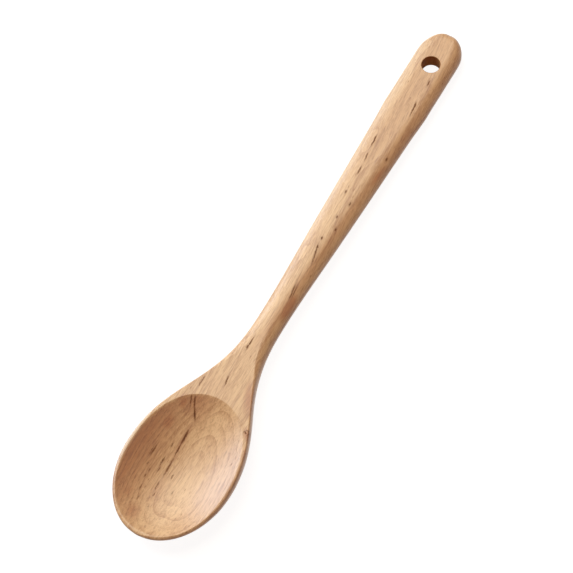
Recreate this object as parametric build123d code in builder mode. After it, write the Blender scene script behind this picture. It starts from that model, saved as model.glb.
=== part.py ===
from build123d import *
import math
import os

# A one-piece wooden spoon, lying on a table with its bowl open upwards. All lengths are in millimetres.
# The spoon is drawn on its board: x runs from the bowl's tip to the end of the handle, y across it,
# and z up from the board's flat top. The board leans a little, because the bowl hangs lower than the handle.

# Plan of the board: lengths from the bowl's tip, and full widths
overall_length = 300.0
bowl_nose_length = 36.8
bowl_width = 56.1
neck_from_tip = 122.0
neck_width = 13.7
grip_width = 22.9
grip_end_length = 14.2

# The outline from the bowl's widest place to the neck: share of the way, share of the width still to lose
shoulder_shares = [(0.25, 0.84), (0.39, 0.61), (0.53, 0.344), (0.67, 0.147), (0.81, 0.037)]
# The outline from the neck to the grip's widest place: share of the way, share of the width gained
flank_shares = [(0.23, 0.252), (0.48, 0.583), (0.75, 0.912)]

# Heights, measured down from the flat top
bowl_height = 12.6
bowl_keel_from_tip = 44.0
handle_thickness = 8.6

# The rim sinks below the flat top towards the bowl's tip, and the wall between the rim and the widest
# line of the bowl is low at the tip
rim_sink = 2.4
rim_sink_length = 65.0
tip_wall = 1.2
bowl_wall = 4.2
wall_rise_length = 75.0

# Rounded edges: how far they reach in from the outline. The bowl's crisp edge turns into the handle's
# round one between two places on the shoulder
edge_turn_start = 82.0
edge_turn_end = 126.0
bowl_edge = 1.3
grip_end_edge = 4.0
nose_edge_share = 0.70
neck_edge_share = 0.97
grip_edge_share = 0.55

# Section curves: how full their upper and lower halves are, and how the sections are spread
round_share = 0.5523
tip_belly_share = 0.40
bowl_belly_share = 0.66
handle_belly_share = 0.68
keel_nose_share = 0.25
keel_level_share = 0.33
section_count = 44
tip_crowding_share = 0.3
end_crowding_share = 0.8
end_facet = 0.8

# The hollow of the bowl: its mouth keeps the rim's width inside the outline at the tip and at both sides
rim_width = 2.0
hollow_tail_length = 37.5
bowl_floor = 4.6
hollow_overrun = 1.0
hollow_round_share = 0.60
hollow_section_count = 24
hollow_lip = 0.5
parabola_share = 1 / 3

# The hanging hole
hanging_hole_diameter = 9.4
hanging_hole_from_end = 20.9
hanging_hole_lip = 0.25

# The bowl's keel and the underside of the grip stand on the table, so the board leans between them
support_span = overall_length - grip_end_edge - bowl_keel_from_tip
board_lean = math.degrees(math.atan((bowl_height - handle_thickness) / support_span))

search_halvings = 40


def eased(share):
    """A smooth rise from 0 to 1, level at both ends."""
    share = min(max(share, 0), 1)
    return share * share * (3 - 2 * share)


def rounded(share):
    """The height of a round edge, from 0 where it starts to 1 where it ends."""
    share = min(max(share, 0), 1)
    return math.sqrt(share * (2 - share))


def mixed(first, second, share):
    return first + (second - first) * share


def height_at(guide, x):
    """The second coordinate of a guide line at the place where its first is x."""
    low, high = 0.0, 1.0
    for _ in range(search_halvings):
        middle = (low + high) / 2
        if (guide @ middle).X < x:
            low = middle
        else:
            high = middle
    return (guide @ low).Y


# Half of the plan outline, from the tip to the end of the handle
bowl_half = bowl_width / 2
neck_half = neck_width / 2
grip_half = grip_width / 2
grip_end_start = overall_length - grip_end_length

shoulder_points = [
    (mixed(bowl_nose_length, neck_from_tip, way), mixed(neck_half, bowl_half, left))
    for way, left in shoulder_shares
]
flank_points = [
    (mixed(neck_from_tip, grip_end_start, way), mixed(neck_half, grip_half, gained))
    for way, gained in flank_shares
]

with BuildLine() as outline:
    EllipticalCenterArc((bowl_nose_length, 0), bowl_nose_length, bowl_half, 180, arc_size=-90)
    Spline(
        [(bowl_nose_length, bowl_half), *shoulder_points, (neck_from_tip, neck_half)]
        + [*flank_points, (grip_end_start, grip_half)],
        tangents=[(1, 0), (1, 0)],
    )
    EllipticalCenterArc((grip_end_start, 0), grip_end_length, grip_half, 90, arc_size=-90)
outline_guide = outline.wire()

# Depth of the underside along the middle, from the tip to the end of the handle
tip_drop = rim_sink + tip_wall
keel_reach = bowl_keel_from_tip * (1 - bowl_belly_share)
keel_drop = mixed(tip_drop, bowl_height, keel_nose_share)
handle_drop = handle_thickness / 2
grip_edge_start = overall_length - grip_end_edge

with BuildLine() as keel:
    Bezier(
        (0, tip_drop),
        (0, keel_drop),
        (keel_reach, bowl_height),
        (bowl_keel_from_tip, bowl_height),
    )
    Bezier(
        (bowl_keel_from_tip, bowl_height),
        (mixed(bowl_keel_from_tip, neck_from_tip, keel_level_share), bowl_height),
        (mixed(neck_from_tip, bowl_keel_from_tip, keel_level_share), handle_thickness),
        (neck_from_tip, handle_thickness),
    )
    Line((neck_from_tip, handle_thickness), (grip_edge_start, handle_thickness))
    EllipticalCenterArc((grip_edge_start, handle_drop), grip_end_edge, handle_drop, 90, arc_size=-90)
keel_guide = keel.wire()

# The board's own plane, leaned so that the keel and the grip touch the table at height zero
lean_cosine = math.cos(math.radians(board_lean))
lean_sine = math.sin(math.radians(board_lean))
tip_height = bowl_height * lean_cosine + bowl_keel_from_tip * lean_sine
tip_place = ((tip_drop + handle_drop) * lean_sine - overall_length * lean_cosine) / 2
board = Plane(
    origin=(tip_place, 0, tip_height),
    x_dir=(lean_cosine, 0, -lean_sine),
    z_dir=(lean_sine, 0, lean_cosine),
)


def sink(x):
    """How far the rim has sunk below the flat top at x."""
    return rim_sink * (1 - eased(x / rim_sink_length))


def station(x):
    """The plane square to the board at x, with its own x across the board and its own y up from the rim."""
    origin = board.from_local_coords((x, 0, -sink(x)))
    return Plane(origin=origin, x_dir=board.y_dir, z_dir=board.x_dir)


def spoon_section(share):
    """The closed section of the solid spoon at a share of the outline's length."""
    place = outline_guide @ share
    along = (outline_guide % share).X
    half = place.Y
    handle_blend = eased((place.X - edge_turn_start) / (edge_turn_end - edge_turn_start))
    grip_blend = eased((place.X - neck_from_tip) / (grip_end_start - neck_from_tip))
    bowl_reach = min(bowl_edge / max(along, bowl_edge / overall_length), nose_edge_share * half)
    handle_reach = half * mixed(neck_edge_share, grip_edge_share, grip_blend)
    reach = mixed(bowl_reach, handle_reach, handle_blend)
    wall = mixed(tip_wall, bowl_wall, eased(place.X / wall_rise_length))
    drop = mixed(wall, handle_drop, handle_blend)
    tip_round = rounded(place.X / bowl_edge)
    end_round = rounded((overall_length - place.X) / grip_end_edge)
    top = -drop * (1 - tip_round * end_round)
    keel_level = sink(place.X) - height_at(keel_guide, place.X)
    bowl_belly = mixed(tip_belly_share, bowl_belly_share, eased(place.X / bowl_keel_from_tip))
    belly = mixed(bowl_belly, handle_belly_share, handle_blend)
    flat = half - reach
    with BuildSketch(station(place.X)) as section:
        with BuildLine():
            Line((-flat, top), (flat, top))
            for side in (1, -1):
                Bezier(
                    (side * flat, top),
                    (side * (flat + round_share * reach), top),
                    (side * half, mixed(-drop, top, round_share)),
                    (side * half, -drop),
                )
                Bezier(
                    (side * half, -drop),
                    (side * half, mixed(-drop, keel_level, belly)),
                    (side * half * belly, keel_level),
                    (0, keel_level),
                )
        make_face()
    return section.sketch


def section_place(turn):
    """Share of the outline for a section at a share of their number. They crowd together towards both ends."""
    crowding = tip_crowding_share if turn < 1 / 2 else end_crowding_share
    facet = end_facet / outline_guide.length
    return mixed(facet, 1 - facet, turn - crowding * math.sin(2 * math.pi * turn) / (2 * math.pi))


# The hollow is a dish whose sections are parabolas. It is drawn up to the overrun above the rim, so its outline
# there is the mouth's outline spread about the bowl's widest place. It ends in the air, halfway past the mouth's
# ends.
dish_height = bowl_height - bowl_floor + hollow_overrun
dish_spread = math.sqrt(dish_height / (dish_height - hollow_overrun))
dish_half = (bowl_half - rim_width) * dish_spread
dish_nose = (bowl_nose_length - rim_width) * dish_spread
dish_tail = hollow_tail_length * dish_spread
dish_end_share = (1 + 1 / dish_spread) / 2

with BuildLine() as dish:
    Bezier(
        (bowl_nose_length - dish_nose, 0),
        (bowl_nose_length - dish_nose, dish_half * hollow_round_share),
        (bowl_nose_length - dish_nose * hollow_round_share, dish_half),
        (bowl_nose_length, dish_half),
    )
    Bezier(
        (bowl_nose_length, dish_half),
        (bowl_nose_length + dish_tail * hollow_round_share, dish_half),
        (bowl_nose_length + dish_tail, dish_half * hollow_round_share),
        (bowl_nose_length + dish_tail, 0),
    )
dish_guide = dish.wire()


def hollow_section(turn):
    """The closed section of the dish at a share of the way along it. The sections crowd together at both ends."""
    way = -dish_end_share * math.cos(math.pi * turn)
    x = bowl_nose_length + way * (dish_nose if way < 0 else dish_tail)
    half = height_at(dish_guide, x)
    floor = hollow_overrun - dish_height * (1 - way * way)
    with BuildSketch(station(x)) as section:
        with BuildLine():
            Line((-half, hollow_overrun), (half, hollow_overrun))
            for side in (1, -1):
                Bezier(
                    (side * half, hollow_overrun),
                    (side * mixed(half, 0, parabola_share), mixed(floor, hollow_overrun, parabola_share)),
                    (side * half * parabola_share, floor),
                    (0, floor),
                )
        make_face()
    return section.sketch


# The middle of the dish's floor, by which the hollow's face is found
dish_floor_height = hollow_overrun - dish_height - sink(bowl_nose_length)
dish_floor = board.from_local_coords((bowl_nose_length, 0, dish_floor_height))
hanging_hole_place = board.from_local_coords((overall_length - hanging_hole_from_end, 0, 0))

with BuildPart() as spoon:
    loft(
        sections=[
            spoon_section(section_place(index / section_count))
            for index in range(section_count + 1)
        ]
    )
    loft(
        sections=[
            hollow_section(index / hollow_section_count)
            for index in range(hollow_section_count + 1)
        ],
        mode=Mode.SUBTRACT,
    )
    hollow = spoon.faces().sort_by_distance(dish_floor)[0]
    fillet(hollow.edges(), hollow_lip)

    with Locations(Plane(hanging_hole_place, x_dir=board.x_dir, z_dir=board.z_dir)):
        Hole(hanging_hole_diameter / 2)
    bore = spoon.faces().filter_by(GeomType.CYLINDER)[0]
    fillet(bore.edges().filter_by(GeomType.LINE, reverse=True), hanging_hole_lip)

spoon.part.label = "spoon"
os.makedirs("parts", exist_ok=True)
export_step(spoon.part, "parts/spoon.step")
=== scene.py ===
import math

import bpy
from mathutils import Matrix, Quaternion, Vector

# Looks for the one-piece wooden spoon. Lengths in this file are in millimetres, and MM turns them
# into metres. Where two numbers describe a fade, it starts at the first and is full at the second.
MM = 0.001

# The camera: it looks down on the spoon from the side of the bowl's tip, and is turned a little
# about its own line of sight
VIEW_TARGET = Vector((-11.06, 1.49, 12.05))
VIEW_DISTANCE = 995.8
VIEW_ELEVATION = math.radians(65.38)
VIEW_TURN = math.radians(49.76)
VIEW_ROLL = math.radians(-10.91)
VIEW_LENS = 131.36
SENSOR_WIDTH = 36.0

# Soft boxes: azimuth from +X towards +Y and elevation in degrees, distance, side, and how brightly
# one alone would show a white card that faces it, in red, green and blue
SOFT_BOXES = {
    "window_box": (86, 22, 2000, 1250, (0.485, 0.589, 0.713)),
    "overhead_box": (56, 55, 2000, 1700, (0.752, 0.749, 0.659)),
}
ROOM_FILL = (0.15, 0.05, 0.02)

# The floor: its size, how much light it throws back on the spoon, and how it looks to the camera
FLOOR_SIDE = 6000
FLOOR_BOUNCE = 0.8
FLOOR_SHADE = 0.25
FLOOR_GLOW = 0.92

# Colours of the wood, linear, with a paler one for painted sheen and a brown for painted shade in the
# hole
EARLY_WOOD = (0.775, 0.492, 0.235)
LATE_WOOD = (0.45, 0.205, 0.062)
SHEEN_COLOUR = (0.84, 0.66, 0.46)
FIBRE_BROWN = (0.34, 0.130, 0.040)
STREAK_BROWN = (0.105, 0.034, 0.012)
HOLE_SHADE_BROWN = (0.42, 0.185, 0.045)

# A browner tint, partly the board's browner layer and partly painted shade: what share of each
# colour it leaves, and how strong it still is where the broad fibres are darkest
LAYER_AND_SHADE_TINT = (0.68, 0.46, 0.32)
LAYER_AND_SHADE_LEAST = 0.5

# It fills the side of the bowl's hollow that turns from the light, as painted shade there, and more
# of it at the back, always under the rim, which sinks towards the bowl's tip
RIM_HEIGHT = 12.0
RIM_SLOPE_START = -95.0
RIM_SLOPE = 0.025
HOLLOW_BELOW_RIM = (-0.3, 0.5)
HOLLOW_ALONG = (-60, -74)
BOWL_SIDE_ACROSS = (3, 26)
BOWL_SIDE_SHARE = 0.92
BOWL_BACK_ALONG = (-95, -82)
BOWL_BACK_ACROSS = (-4, 10)
BOWL_BACK_SHARE = 0.75

# It shows again as painted shade in a band along the handle's shaded side, and faintly on the grip's
# top and the bowl's other side as painted shade that dims the sheen there
BAND_ACROSS = -3.3
BAND_SLOPE = -0.050
BAND_HALF_WIDTH = 3.2
BAND_EDGE = (1.0, 0.2)
BAND_START = (-60, -35)
BAND_END = (125, 95)
BAND_SHARE = 0.4
GRIP_ALONG = (35, 90)
GRIP_ACROSS = (8, 3)
GRIP_SHARE = 0.3
OTHER_SIDE_ACROSS = (-8, -16)
OTHER_SIDE_ALONG = (-85, -100)
OTHER_SIDE_SHARE = 0.18

# Painted sheen: a paler colour along the lit side of the handle, less towards the end, and on the
# bowl's rim there
SHEEN_HANDLE_ACROSS = (5, 10)
SHEEN_HANDLE_START = (-45, -20)
SHEEN_HANDLE_WANE = (20, 90)
SHEEN_HANDLE_LOSS = 0.55
SHEEN_RIM_ACROSS = (24, 27.5)
SHEEN_SHARE = 0.7

# Browner patches, partly stains and partly painted shade on shaded sides: middle, half length, half
# width, turn in degrees, darkness
PATCHES = [
    ((-69.0, -12.0, 12.1), 12.0, 3.2, 26, 1.0),
    ((-84.6, -20.0, 12.2), 4.5, 2.4, 40, 1.0),
    ((-94.0, -24.2, 12.0), 6.0, 1.6, 20, 0.7),
    ((-101.0, 6.4, 6.0), 17.0, 2.0, 1, 0.6),
    ((-96.0, 16.5, 9.2), 8.0, 5.0, 0, 1.0),
    ((-84.5, 14.5, 11.2), 6.0, 4.0, 0, 1.0),
    ((-141.0, 8.5, 8.8), 8.0, 6.0, 0, 0.7),
    ((-127.0, 4.5, 5.2), 10.0, 5.0, 0, 0.4),
    ((-133.0, 15.5, 8.8), 9.0, 6.0, 0, 0.7),
    ((-19.5, -4.2, 10.4), 10.0, 2.7, 0, 1.5),
    ((62.0, -7.2, 8.8), 12.0, 2.2, -5, 0.9),
    ((34.0, -5.8, 9.4), 9.0, 1.8, -5, 0.35),
    ((88.0, -8.4, 8.4), 9.0, 2.0, -5, 0.7),
]

# How deep the patches go, and how strong they are
PATCH_DEPTH = 6.0
PATCH_SHARE = 1.3

# The log: where its heart runs under the board, how thick a year's ring is, how far the rings swell
# in and out, and how straight they stay in the handle
HEART_ACROSS = -9.0
HEART_HEIGHT = -24.0
RING_THICKNESS = 1.7
RING_SWELL = 5.0
RING_STRAIGHT_SHARE = 0.6

# How sharply a year's late wood sets in, and how dark it is in the palest year
LATE_SHARPNESS = 3.0
LATE_LEAST = 0.45

# How far the grain wanders, and how it runs askew in the handle
GRAIN_WANDER = 1.5
HANDLE_GRAIN_SLOPE = 0.09
HANDLE_GRAIN_START = -20.0

# How fine each pattern is, along the board and across it
WANDER_FINENESS = (0.016, 0.045)
SWELL_FINENESS = (0.022, 0.05)
BROAD_FINENESS = (0.020, 0.42)
FIBRE_FINENESS = (0.085, 1.25)
FINE_FINENESS = (0.32, 3.4)
PORE_PATCH_FINENESS = (0.035, 0.16)
PORE_FINENESS = (0.26, 1.05)
RAGGED_FINENESS = (0.9, 2.2)

# Noise lies about this value. Broad and middling fibres have this many finer layers of it, and in
# the middling ones each has this share of the one before
NOISE_MIDDLE = 0.5
FIBRE_LAYERS = 2.0
FIBRE_LAYER_SHARE = 0.6

# Tone between early and late wood: where it lies on average, and how far each pattern moves it
EVEN_TONE = 0.235
LATE_TONE = 0.75
BROAD_TONE = 1.3
FIBRE_TONE = 1.2
FINE_TONE = 1.6

# Which of the middling fibres are browner than that, and how much
BROWN_FIBRE = (0.46, 0.22)
BROWN_FIBRE_SHARE = 0.45

# Pores: how far from a cell's middle one fades, which lots give a cell one, which patches have them
# at their darkest, how dark they are between these, and how brown they turn the wood
PORE_REACH = (0.30, 0.12)
PORE_LOT = (0.50, 0.95)
PORE_PATCH = (0.42, 0.66)
PORE_LEAST = 0.25
PORE_SHARE = 0.9

# The board's own dark streaks: middle, half length, half width, turn in degrees, darkness
STREAKS = [
    ((-98.0, 6.3, 6.0), 4.6, 0.50, 1, 1.0),
    ((-105.0, 6.2, 5.0), 4.2, 0.34, 2, 0.9),
    ((-113.5, 5.8, 4.8), 6.5, 0.38, 2, 0.55),
    ((-82.3, 11.8, 11.2), 3.6, 0.28, 20, 0.6),
    ((-82.0, 10.0, 10.9), 3.6, 0.34, 24, 0.75),
    ((-86.6, 7.4, 8.9), 3.6, 0.46, 30, 0.95),
    ((-110.5, 15.6, 7.4), 3.4, 0.26, 0, 0.7),
    ((-111.0, 16.4, 7.8), 2.8, 0.20, 0, 0.55),
    ((-112.8, 9.7, 5.4), 3.0, 0.30, 0, 0.8),
    ((-116.9, 9.1, 5.4), 1.6, 0.30, 0, 0.6),
    ((-117.2, 14.8, 7.6), 1.0, 0.30, 0, 0.6),
    ((-119.6, 12.6, 6.9), 1.0, 0.30, 5, 0.6),
    ((-122.8, 12.8, 7.1), 1.2, 0.30, 0, 0.6),
    ((-123.9, 5.7, 5.6), 2.6, 0.28, 3, 0.65),
    ((-128.5, 11.6, 7.6), 2.2, 0.28, 3, 0.55),
    ((-133.4, 9.8, 8.6), 1.1, 0.34, 0, 0.75),
    ((-128.5, 4.6, 6.3), 1.3, 0.32, 0, 0.65),
    ((-116.9, 2.0, 4.4), 1.4, 0.32, 0, 0.5),
    ((-123.7, -2.3, 5.1), 1.2, 0.30, 0, 0.45),
    ((-135.0, 3.5, 8.3), 1.3, 0.28, 0, 0.5),
    ((-138.6, 14.0, 11.6), 1.2, 0.26, 0, 0.45),
    ((-104.0, 9.6, 5.8), 1.5, 0.24, 0, 0.45),
    ((-44.4, 2.05, 11.6), 4.6, 0.26, 0, 0.75),
    ((-46.4, 2.1, 11.6), 1.3, 0.42, 0, 0.95),
    ((-66.0, 1.9, 12.0), 3.2, 0.36, 10, 0.8),
    ((-72.0, 12.1, 12.1), 3.4, 0.30, 0, 0.6),
    ((11.0, -1.5, 10.7), 6.6, 0.30, 13, 0.85),
    ((14.6, -0.6, 10.7), 1.6, 0.45, 13, 1.0),
    ((-12.0, -2.1, 10.9), 4.6, 0.28, 8, 0.75),
    ((-11.0, -2.9, 10.9), 3.8, 0.20, 8, 0.5),
    ((102.5, -4.5, 9.3), 5.0, 0.28, 7, 0.7),
    ((104.8, -4.3, 9.3), 1.8, 0.42, 7, 0.85),
    ((78.0, 3.9, 9.7), 4.2, 0.34, 4, 0.8),
    ((68.5, 2.8, 9.9), 2.8, 0.26, 8, 0.65),
    ((60.6, 2.1, 10.0), 3.2, 0.30, 4, 0.7),
    ((47.0, 2.1, 10.2), 1.0, 0.42, 6, 0.9),
    ((42.0, -3.1, 10.2), 1.3, 0.40, 6, 0.85),
    ((33.0, -1.0, 10.4), 0.9, 0.40, 6, 0.8),
    ((26.8, -3.7, 10.2), 1.0, 0.44, 6, 0.8),
    ((19.5, -0.2, 10.6), 0.9, 0.44, 8, 0.95),
    ((72.1, -6.6, 9.2), 1.3, 0.44, 4, 0.7),
    ((119.0, -4.1, 9.0), 2.0, 0.40, 7, 0.6),
    ((-84.3, -19.3, 12.3), 0.8, 0.30, 60, 0.7),
]

# How deep the streaks go, how full and wide they are, where the brown halo round them fades, and
# how far their edges stray
STREAK_DEPTH = 2.5
STREAK_FULLNESS = 0.45
STREAK_WIDENING = 1.15
HALO_REACH = 2.1
HALO_FULL_REACH = 0.9
HALO_SHARE = 0.35
STREAK_STRAYING = 0.9

# The pin knot by the rim: its middle, the half sizes of its loop, the fades at the loop's inner
# edge, outer edge and open end, and how dark it is
KNOT_MIDDLE = (-84.6, -19.6, 12.3)
KNOT_SIZE = (2.0, 1.4, 3.0)
KNOT_INNER_EDGE = (0.62, 0.85)
KNOT_OUTER_EDGE = (1.12, 0.9)
KNOT_OPEN_END = (-0.9, 0.3)
KNOT_SHARE = 0.6

# End grain, by how squarely a face looks along the board, at the handle's end, where it is partly
# painted shade, and at the bowl's tip
HANDLE_END_GRAIN_AND_SHADE = (0.3, 0.9)
HANDLE_END_SHARE = 0.8
TIP_END_GRAIN = (-0.45, -0.95)
TIP_END_SHARE = 0.4

# The drilled hole: its middle, its lean, its radius, and how far outside it the painted shade fades
HOLE_ALONG = 129.08
HOLE_HEIGHT = 4.57
HOLE_LEAN = 0.0159
HOLE_RADIUS = 4.7
HOLE_SHADE_REACH = 0.3
HOLE_SHADE_FULL_REACH = 0.05

# The oiled surface: a satin coat, worn off where the wood is bare, as in streaks and pores, and how
# rough the wood is
COAT_WEIGHT = 0.95
COAT_LOSS = 0.9
BARE_STREAK = 1.7
BARE_PORE = 0.6
WOOD_ROUGHNESS = 0.42
FIBRE_ROUGHENING = 0.25
BARE_ROUGHENING = 0.4
GLOSS = {"IOR": 1.45, "Specular IOR Level": 0.25, "Coat IOR": 1.62, "Coat Roughness": 0.38}

# The relief: its strength and depth, and how high or low each pattern stands
RELIEF_STRENGTH = 0.35
RELIEF_DEPTH = 0.12
FIBRE_RELIEF = 0.5
FINE_RELIEF = 0.35
PORE_RELIEF = -1.0
STREAK_RELIEF = -1.2
LATE_RELIEF = -0.25

# The colour sockets of a Mix node, by number
MIX_SHARE, MIX_FIRST, MIX_SECOND, MIX_RESULT = 0, 6, 7, 2


class Wire:
    """A socket in a node tree. Sums and products of wires add the Math nodes that work them out."""

    def __init__(self, tree, socket):
        self.tree = tree
        self.socket = socket

    def math(self, operation, *values):
        return self.tree.math(operation, *values)

    def __add__(self, other):
        return self.math("ADD", self, other)

    def __radd__(self, other):
        return self.math("ADD", other, self)

    def __sub__(self, other):
        return self.math("SUBTRACT", self, other)

    def __rsub__(self, other):
        return self.math("SUBTRACT", other, self)

    def __mul__(self, other):
        return self.math("MULTIPLY", self, other)

    def __rmul__(self, other):
        return self.math("MULTIPLY", other, self)

    def __truediv__(self, other):
        return self.math("DIVIDE", self, other)

    def __rtruediv__(self, other):
        return self.math("DIVIDE", other, self)

    def __pow__(self, other):
        return self.math("POWER", self, other)

    def __rpow__(self, other):
        return self.math("POWER", other, self)

    def clipped(self):
        return self.math("MINIMUM", self.math("MAXIMUM", self, 0), 1)

    def whole(self):
        return self.math("FLOOR", self)

    def larger(self, other):
        return self.math("MAXIMUM", self, other)

    def risen(self, low, high):
        """A smooth rise from 0 at low to 1 at high, or a fall where high is the smaller."""
        sockets = {"Value": self, "From Min": low, "From Max": high}
        return self.tree.add("ShaderNodeMapRange", {"interpolation_type": "SMOOTHSTEP"}, sockets)


class Tree:
    """A node tree that is being put together."""

    def __init__(self, node_tree):
        self.node_tree = node_tree
        self.node_tree.nodes.clear()

    def add(self, kind, settings=None, sockets=None, output=0):
        """Adds a node, its settings first and then its sockets' values or wires. Returns one output."""
        node = self.node_tree.nodes.new(kind)
        for name, value in (settings or {}).items():
            setattr(node, name, value)
        for name, value in (sockets or {}).items():
            if isinstance(value, Wire):
                self.node_tree.links.new(value.socket, node.inputs[name])
            else:
                node.inputs[name].default_value = value
        return Wire(self, node.outputs[output]) if node.outputs else None

    def math(self, operation, *values):
        return self.add("ShaderNodeMath", {"operation": operation}, dict(enumerate(values)))

    def vector(self, operation, *values, output=0, **sockets):
        sockets = {**dict(enumerate(values)), **sockets}
        return self.add("ShaderNodeVectorMath", {"operation": operation}, sockets, output)

    def parts(self, vector):
        sockets = {"Vector": vector}
        return [self.add("ShaderNodeSeparateXYZ", None, sockets, axis) for axis in range(3)]

    def joined(self, x, y, z):
        return self.add("ShaderNodeCombineXYZ", None, {"X": x, "Y": y, "Z": z})

    def stretched(self, place, fineness):
        """A place for a pattern that is as fine as stated along the board and across it."""
        along, across = fineness
        return self.vector("MULTIPLY", place, (along, across, across))

    def noise(self, place, layers=1.0, layer_share=0.5, output="Fac"):
        sockets = {"Vector": place, "Scale": 1.0, "Detail": layers, "Roughness": layer_share}
        return self.add("ShaderNodeTexNoise", None, sockets, output)

    def blended(self, share, first, second, way="MIX"):
        """One colour laid over another, or multiplied by it, by a share from 0 to 1."""
        sockets = {MIX_SHARE: share}
        for name, colour in ((MIX_FIRST, first), (MIX_SECOND, second)):
            sockets[name] = (*colour, 1) if isinstance(colour, tuple) else colour
        return self.add("ShaderNodeMix", {"data_type": "RGBA", "blend_type": way}, sockets, MIX_RESULT)


def photo_camera():
    """The camera at the photograph's viewing angle. Its turn is counted from +Y towards +X."""
    level = math.cos(VIEW_ELEVATION)
    fall = math.sin(VIEW_ELEVATION)
    sight = Vector((math.sin(VIEW_TURN) * level, math.cos(VIEW_TURN) * level, -fall))
    right = sight.cross(Vector((0, 0, 1))).normalized()
    right.rotate(Quaternion(sight, -VIEW_ROLL))
    up = right.cross(sight)
    data = bpy.data.cameras.new("photo_camera")
    data.lens = VIEW_LENS
    data.sensor_width = SENSOR_WIDTH
    camera = bpy.data.objects.new("photo_camera", data)
    bpy.context.scene.collection.objects.link(camera)
    turned = Matrix((right, up, -sight)).transposed().to_4x4()
    camera.matrix_world = Matrix.Translation((VIEW_TARGET - VIEW_DISTANCE * sight) * MM) @ turned
    bpy.context.scene.camera = camera


def soft_box(name, azimuth, elevation, distance, side, brightness):
    """A square soft box that faces the spoon, with the power that its brightness asks for."""
    turn = math.radians(azimuth)
    height = math.radians(elevation)
    level = math.cos(height)
    towards = Vector((math.cos(turn) * level, math.sin(turn) * level, math.sin(height)))
    lamp = bpy.data.lights.new(name, "AREA")
    lamp.size = side * MM
    lamp.energy = max(brightness) * (math.pi * distance * MM) ** 2
    lamp.color = [share / max(brightness) for share in brightness]
    box = bpy.data.objects.new(name, lamp)
    box.location = towards * distance * MM
    box.rotation_euler = towards.to_track_quat("Z", "Y").to_euler()
    bpy.context.scene.collection.objects.link(box)


def seen_directly(tree):
    """1 for rays that show the floor or the room itself: to the camera, in a gloss, in glass."""
    camera, glossy, transmission = (
        tree.add("ShaderNodeLightPath", None, None, f"Is {kind} Ray")
        for kind in ("Camera", "Glossy", "Transmission")
    )
    return camera.larger(glossy).larger(transmission)


def white_room():
    """A world that looks white, but gives the spoon only a weak fill."""
    world = bpy.data.worlds.new("white_room")
    world.use_nodes = True
    tree = Tree(world.node_tree)
    colour = tree.blended(seen_directly(tree), ROOM_FILL, (1, 1, 1))
    background = tree.add("ShaderNodeBackground", None, {"Color": colour, "Strength": 1})
    tree.add("ShaderNodeOutputWorld", None, {"Surface": background})
    bpy.context.scene.world = world


def pale_floor():
    """The table: white where the light falls, with the spoon's soft shadow on it."""
    bpy.ops.mesh.primitive_plane_add(size=FLOOR_SIDE * MM)
    floor = bpy.context.object
    floor.name = "floor"
    material = bpy.data.materials.new("pale_floor")
    material.use_nodes = True
    tree = Tree(material.node_tree)
    thrown = tree.add("ShaderNodeBsdfDiffuse", None, {"Color": (FLOOR_BOUNCE,) * 3 + (1,)})
    shaded = tree.add("ShaderNodeBsdfDiffuse", None, {"Color": (FLOOR_SHADE,) * 3 + (1,)})
    glow = tree.add("ShaderNodeEmission", None, {"Color": (1, 1, 1, 1), "Strength": FLOOR_GLOW})
    shown = tree.add("ShaderNodeAddShader", None, {0: shaded, 1: glow})
    surface = tree.add("ShaderNodeMixShader", None, {0: seen_directly(tree), 1: thrown, 2: shown})
    tree.add("ShaderNodeOutputMaterial", None, {"Surface": surface})
    floor.data.materials.append(material)


def marks_mask(tree, place, marks, depth, widening=1.0):
    """How dark the darkest of some marks is at a place, and how far the nearest one is.

    That distance is in the mark's own half sizes, and stops at the reach of a halo.
    """
    turned = {}
    darkest = 0
    nearest = HALO_REACH
    for middle, length, width, turn, darkness in marks:
        angle = math.radians(turn)
        along = (math.cos(angle), math.sin(angle), 0)
        aside = (-math.sin(angle), math.cos(angle), 0)
        if turn not in turned:
            axes = (along, aside, (0, 0, 1))
            dots = [tree.vector("DOT_PRODUCT", place, axis, output="Value") for axis in axes]
            turned[turn] = tree.joined(*dots)
        size = Vector((length, width * widening, depth))
        centre = Vector((Vector(middle).dot(along), Vector(middle).dot(aside), middle[2]))
        shrink = tuple(1 / side for side in size)
        shift = tuple(-part / side for part, side in zip(centre, size))
        inside = tree.vector("MULTIPLY_ADD", turned[turn], shrink, shift)
        reach = tree.vector("LENGTH", inside, output="Value")
        darkest = tree.math("MULTIPLY_ADD", reach, -darkness, darkness).larger(darkest)
        nearest = tree.math("MINIMUM", reach, nearest)
    return darkest, nearest


def year_rings(tree, place, across, height, askew):
    """Late wood, from 0 to 1, in rings about the log's heart."""
    aside = across - HEART_ACROSS + askew * RING_STRAIGHT_SHARE
    above = height - HEART_HEIGHT
    swell = tree.noise(tree.stretched(place, SWELL_FINENESS))
    radius = (aside * aside + above * above) ** 0.5 + swell * RING_SWELL
    ring = radius / RING_THICKNESS
    ring_share = ring - ring.whole()
    ring_tone = tree.add("ShaderNodeTexWhiteNoise", {"noise_dimensions": "1D"}, {"W": ring.whole()})
    return (ring_share ** LATE_SHARPNESS) * (LATE_LEAST + (1 - LATE_LEAST) * ring_tone)


def pores(tree, grain):
    """Short dark dashes along the grain, darker in some patches than in others."""
    patch = tree.noise(tree.stretched(grain, PORE_PATCH_FINENESS)).risen(*PORE_PATCH)
    cells = {"Vector": tree.stretched(grain, PORE_FINENESS), "Scale": 1.0}
    near = tree.add("ShaderNodeTexVoronoi", None, cells, "Distance")
    lot, _, _ = tree.parts(tree.add("ShaderNodeTexVoronoi", None, cells, "Color"))
    return near.risen(*PORE_REACH) * lot.risen(*PORE_LOT) * (PORE_LEAST + (1 - PORE_LEAST) * patch)


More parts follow.
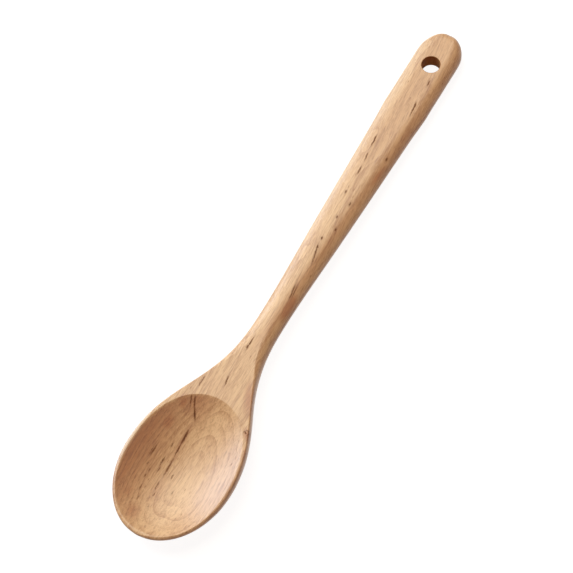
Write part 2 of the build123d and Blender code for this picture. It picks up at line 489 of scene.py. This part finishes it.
def painted_sheen(x, y):
    """Painted sheen: a paler colour on the lit side of the handle and on the bowl's rim there."""
    waning = 1 - x.risen(*SHEEN_HANDLE_WANE) * SHEEN_HANDLE_LOSS
    handle = y.risen(*SHEEN_HANDLE_ACROSS) * x.risen(*SHEEN_HANDLE_START) * waning
    return handle.larger(y.risen(*SHEEN_RIM_ACROSS)) * SHEEN_SHARE


def brown_layer_and_shade(tree, place, x, y, z, broad):
    """How much of the browner tint shows, from 0 to 1: partly the board's browner layer, partly painted
    shade.
    """
    # In the hollow: painted shade on the wall that turns from the light, with the browner layer
    below_rim = RIM_HEIGHT + tree.math("MINIMUM", x - RIM_SLOPE_START, 0) * RIM_SLOPE - z
    bowl_side = y.risen(*BOWL_SIDE_ACROSS) * BOWL_SIDE_SHARE
    bowl_back = x.risen(*BOWL_BACK_ALONG) * y.risen(*BOWL_BACK_ACROSS) * BOWL_BACK_SHARE
    hollow = bowl_side.larger(bowl_back) * below_rim.risen(*HOLLOW_BELOW_RIM)
    hollow = hollow * x.risen(*HOLLOW_ALONG)
    # A band of painted shade along the handle's shaded side
    band_reach = tree.math("ABSOLUTE", y - BAND_ACROSS - x * BAND_SLOPE) / BAND_HALF_WIDTH
    band = band_reach.risen(*BAND_EDGE) * x.risen(*BAND_START) * x.risen(*BAND_END) * BAND_SHARE
    # Painted shade on the grip's top and the bowl's other side, that dims the sheen there
    grip_top = x.risen(*GRIP_ALONG) * y.risen(*GRIP_ACROSS) * GRIP_SHARE
    other_side = y.risen(*OTHER_SIDE_ACROSS) * x.risen(*OTHER_SIDE_ALONG) * OTHER_SIDE_SHARE
    patches, _ = marks_mask(tree, place, PATCHES, PATCH_DEPTH)
    layer_and_shade = hollow.larger(band).larger(patches * PATCH_SHARE).larger(grip_top).larger(other_side)
    return (layer_and_shade * (LAYER_AND_SHADE_LEAST + broad)).clipped()


def pin_knot(tree, place):
    """A small dark loop, open towards the bowl's tip."""
    inside = tree.vector("DIVIDE", tree.vector("SUBTRACT", place, KNOT_MIDDLE), KNOT_SIZE)
    reach = tree.vector("LENGTH", inside, output="Value")
    along, _, _ = tree.parts(inside)
    loop = reach.risen(*KNOT_INNER_EDGE) * reach.risen(*KNOT_OUTER_EDGE)
    return loop * along.risen(*KNOT_OPEN_END) * KNOT_SHARE


def end_grain_and_shade(tree):
    """End grain drinks more oil, at both ends of the board, and at the handle's end it is partly
    painted shade.
    """
    end_on, _, _ = tree.parts(tree.add("ShaderNodeTexCoord", None, None, "Normal"))
    handle_end = end_on.risen(*HANDLE_END_GRAIN_AND_SHADE) * HANDLE_END_SHARE
    return handle_end + end_on.risen(*TIP_END_GRAIN) * TIP_END_SHARE


def hole_wall_shade(x, y, z):
    """The wall of the hole, darkened with painted shade."""
    hole_x = x - HOLE_ALONG - (z - HOLE_HEIGHT) * HOLE_LEAN
    hole_reach = (hole_x * hole_x + y * y) ** 0.5
    return hole_reach.risen(HOLE_RADIUS + HOLE_SHADE_REACH, HOLE_RADIUS + HOLE_SHADE_FULL_REACH)


def wood_finish():
    """Pale oiled hardwood with year rings, fibres, pores, browner layers, streaks and a pin knot, with
    painted sheen on the lit side and painted shade on shaded sides and in the hole.
    """
    material = bpy.data.materials.new("oiled_wood")
    material.use_nodes = True
    tree = Tree(material.node_tree)
    metres = tree.add("ShaderNodeTexCoord", None, None, "Object")
    place = tree.vector("SCALE", metres, Scale=1 / MM)
    x, y, z = tree.parts(place)

    # The grain wanders slowly, and runs a little askew in the handle
    wander = tree.noise(tree.stretched(place, WANDER_FINENESS), output="Color")
    _, wander_y, wander_z = tree.parts(wander)
    askew = (x - HANDLE_GRAIN_START).larger(0) * HANDLE_GRAIN_SLOPE
    across = y - askew + (wander_y - NOISE_MIDDLE) * (2 * GRAIN_WANDER)
    height = z + (wander_z - NOISE_MIDDLE) * (2 * GRAIN_WANDER)
    grain = tree.joined(x, across, height)

    late = year_rings(tree, place, across, height, askew)
    broad = tree.noise(tree.stretched(grain, BROAD_FINENESS), FIBRE_LAYERS)
    fibre = tree.noise(tree.stretched(grain, FIBRE_FINENESS), FIBRE_LAYERS, FIBRE_LAYER_SHARE)
    fine = tree.noise(tree.stretched(grain, FINE_FINENESS))
    pore = pores(tree, grain)

    # Colour of plain wood
    early_share = (broad - NOISE_MIDDLE) * BROAD_TONE + (fibre - NOISE_MIDDLE) * FIBRE_TONE
    early_share = early_share + (fine - NOISE_MIDDLE) * FINE_TONE
    tone = (EVEN_TONE + LATE_TONE * late - early_share).clipped()
    colour = tree.blended(tone, EARLY_WOOD, LATE_WOOD)
    colour = tree.blended(fibre.risen(*BROWN_FIBRE) * BROWN_FIBRE_SHARE, colour, FIBRE_BROWN)
    colour = tree.blended(pore * PORE_SHARE, colour, FIBRE_BROWN)

    # Painted sheen on the lit side, and browner wood with painted shade
    colour = tree.blended(painted_sheen(x, y), colour, SHEEN_COLOUR)
    layer_and_shade = brown_layer_and_shade(tree, place, x, y, z, broad)
    colour = tree.blended(layer_and_shade, colour, LAYER_AND_SHADE_TINT, "MULTIPLY")

    # The board's own streaks, with ragged edges
    ragged = tree.noise(tree.stretched(place, RAGGED_FINENESS), output="Color")
    stray = tree.vector("SUBTRACT", ragged, (NOISE_MIDDLE,) * 3)
    strayed = tree.vector("ADD", place, tree.vector("SCALE", stray, Scale=STREAK_STRAYING))
    streak, nearest = marks_mask(tree, strayed, STREAKS, STREAK_DEPTH, STREAK_WIDENING)
    streak = streak ** STREAK_FULLNESS
    halo = nearest.risen(HALO_REACH, HALO_FULL_REACH) * HALO_SHARE
    colour = tree.blended(halo, colour, FIBRE_BROWN)
    knot = pin_knot(tree, strayed)
    colour = tree.blended(streak.larger(knot), colour, STREAK_BROWN)

    # Darker end grain, partly painted shade at the handle's end, and painted shade on the wall of the
    # hole
    colour = tree.blended(end_grain_and_shade(tree), colour, LATE_WOOD)
    hole_wall = hole_wall_shade(x, y, z)
    colour = tree.blended(hole_wall, colour, HOLE_SHADE_BROWN)

    # Gloss and relief
    bare = (streak * BARE_STREAK + knot + hole_wall + pore * BARE_PORE).clipped()
    roughness = WOOD_ROUGHNESS + (fibre - NOISE_MIDDLE) * FIBRE_ROUGHENING
    roughness = (roughness + bare * BARE_ROUGHENING).clipped()
    relief = fibre * FIBRE_RELIEF + fine * FINE_RELIEF + pore * PORE_RELIEF
    relief = relief + streak * STREAK_RELIEF + late * LATE_RELIEF
    bump = {"Strength": RELIEF_STRENGTH, "Distance": RELIEF_DEPTH * MM, "Height": relief}
    normal = tree.add("ShaderNodeBump", None, bump)
    coat = COAT_WEIGHT - COAT_LOSS * bare
    sockets = {"Base Color": colour, "Roughness": roughness, "Normal": normal, "Coat Weight": coat}
    surface = tree.add("ShaderNodeBsdfPrincipled", None, {**sockets, **GLOSS})
    tree.add("ShaderNodeOutputMaterial", None, {"Surface": surface})
    return material


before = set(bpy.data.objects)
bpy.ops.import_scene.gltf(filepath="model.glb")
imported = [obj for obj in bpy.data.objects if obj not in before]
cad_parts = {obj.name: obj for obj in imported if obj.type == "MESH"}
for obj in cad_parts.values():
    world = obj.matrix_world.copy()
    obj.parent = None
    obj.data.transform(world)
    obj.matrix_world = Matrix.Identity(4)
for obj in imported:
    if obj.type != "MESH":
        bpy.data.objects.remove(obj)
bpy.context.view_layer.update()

photo_camera()
for name, placing in SOFT_BOXES.items():
    soft_box(name, *placing)
white_room()
pale_floor()

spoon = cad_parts["spoon"]
spoon.data.materials.clear()
spoon.data.materials.append(wood_finish())

bpy.context.scene.view_settings.view_transform = "Standard"
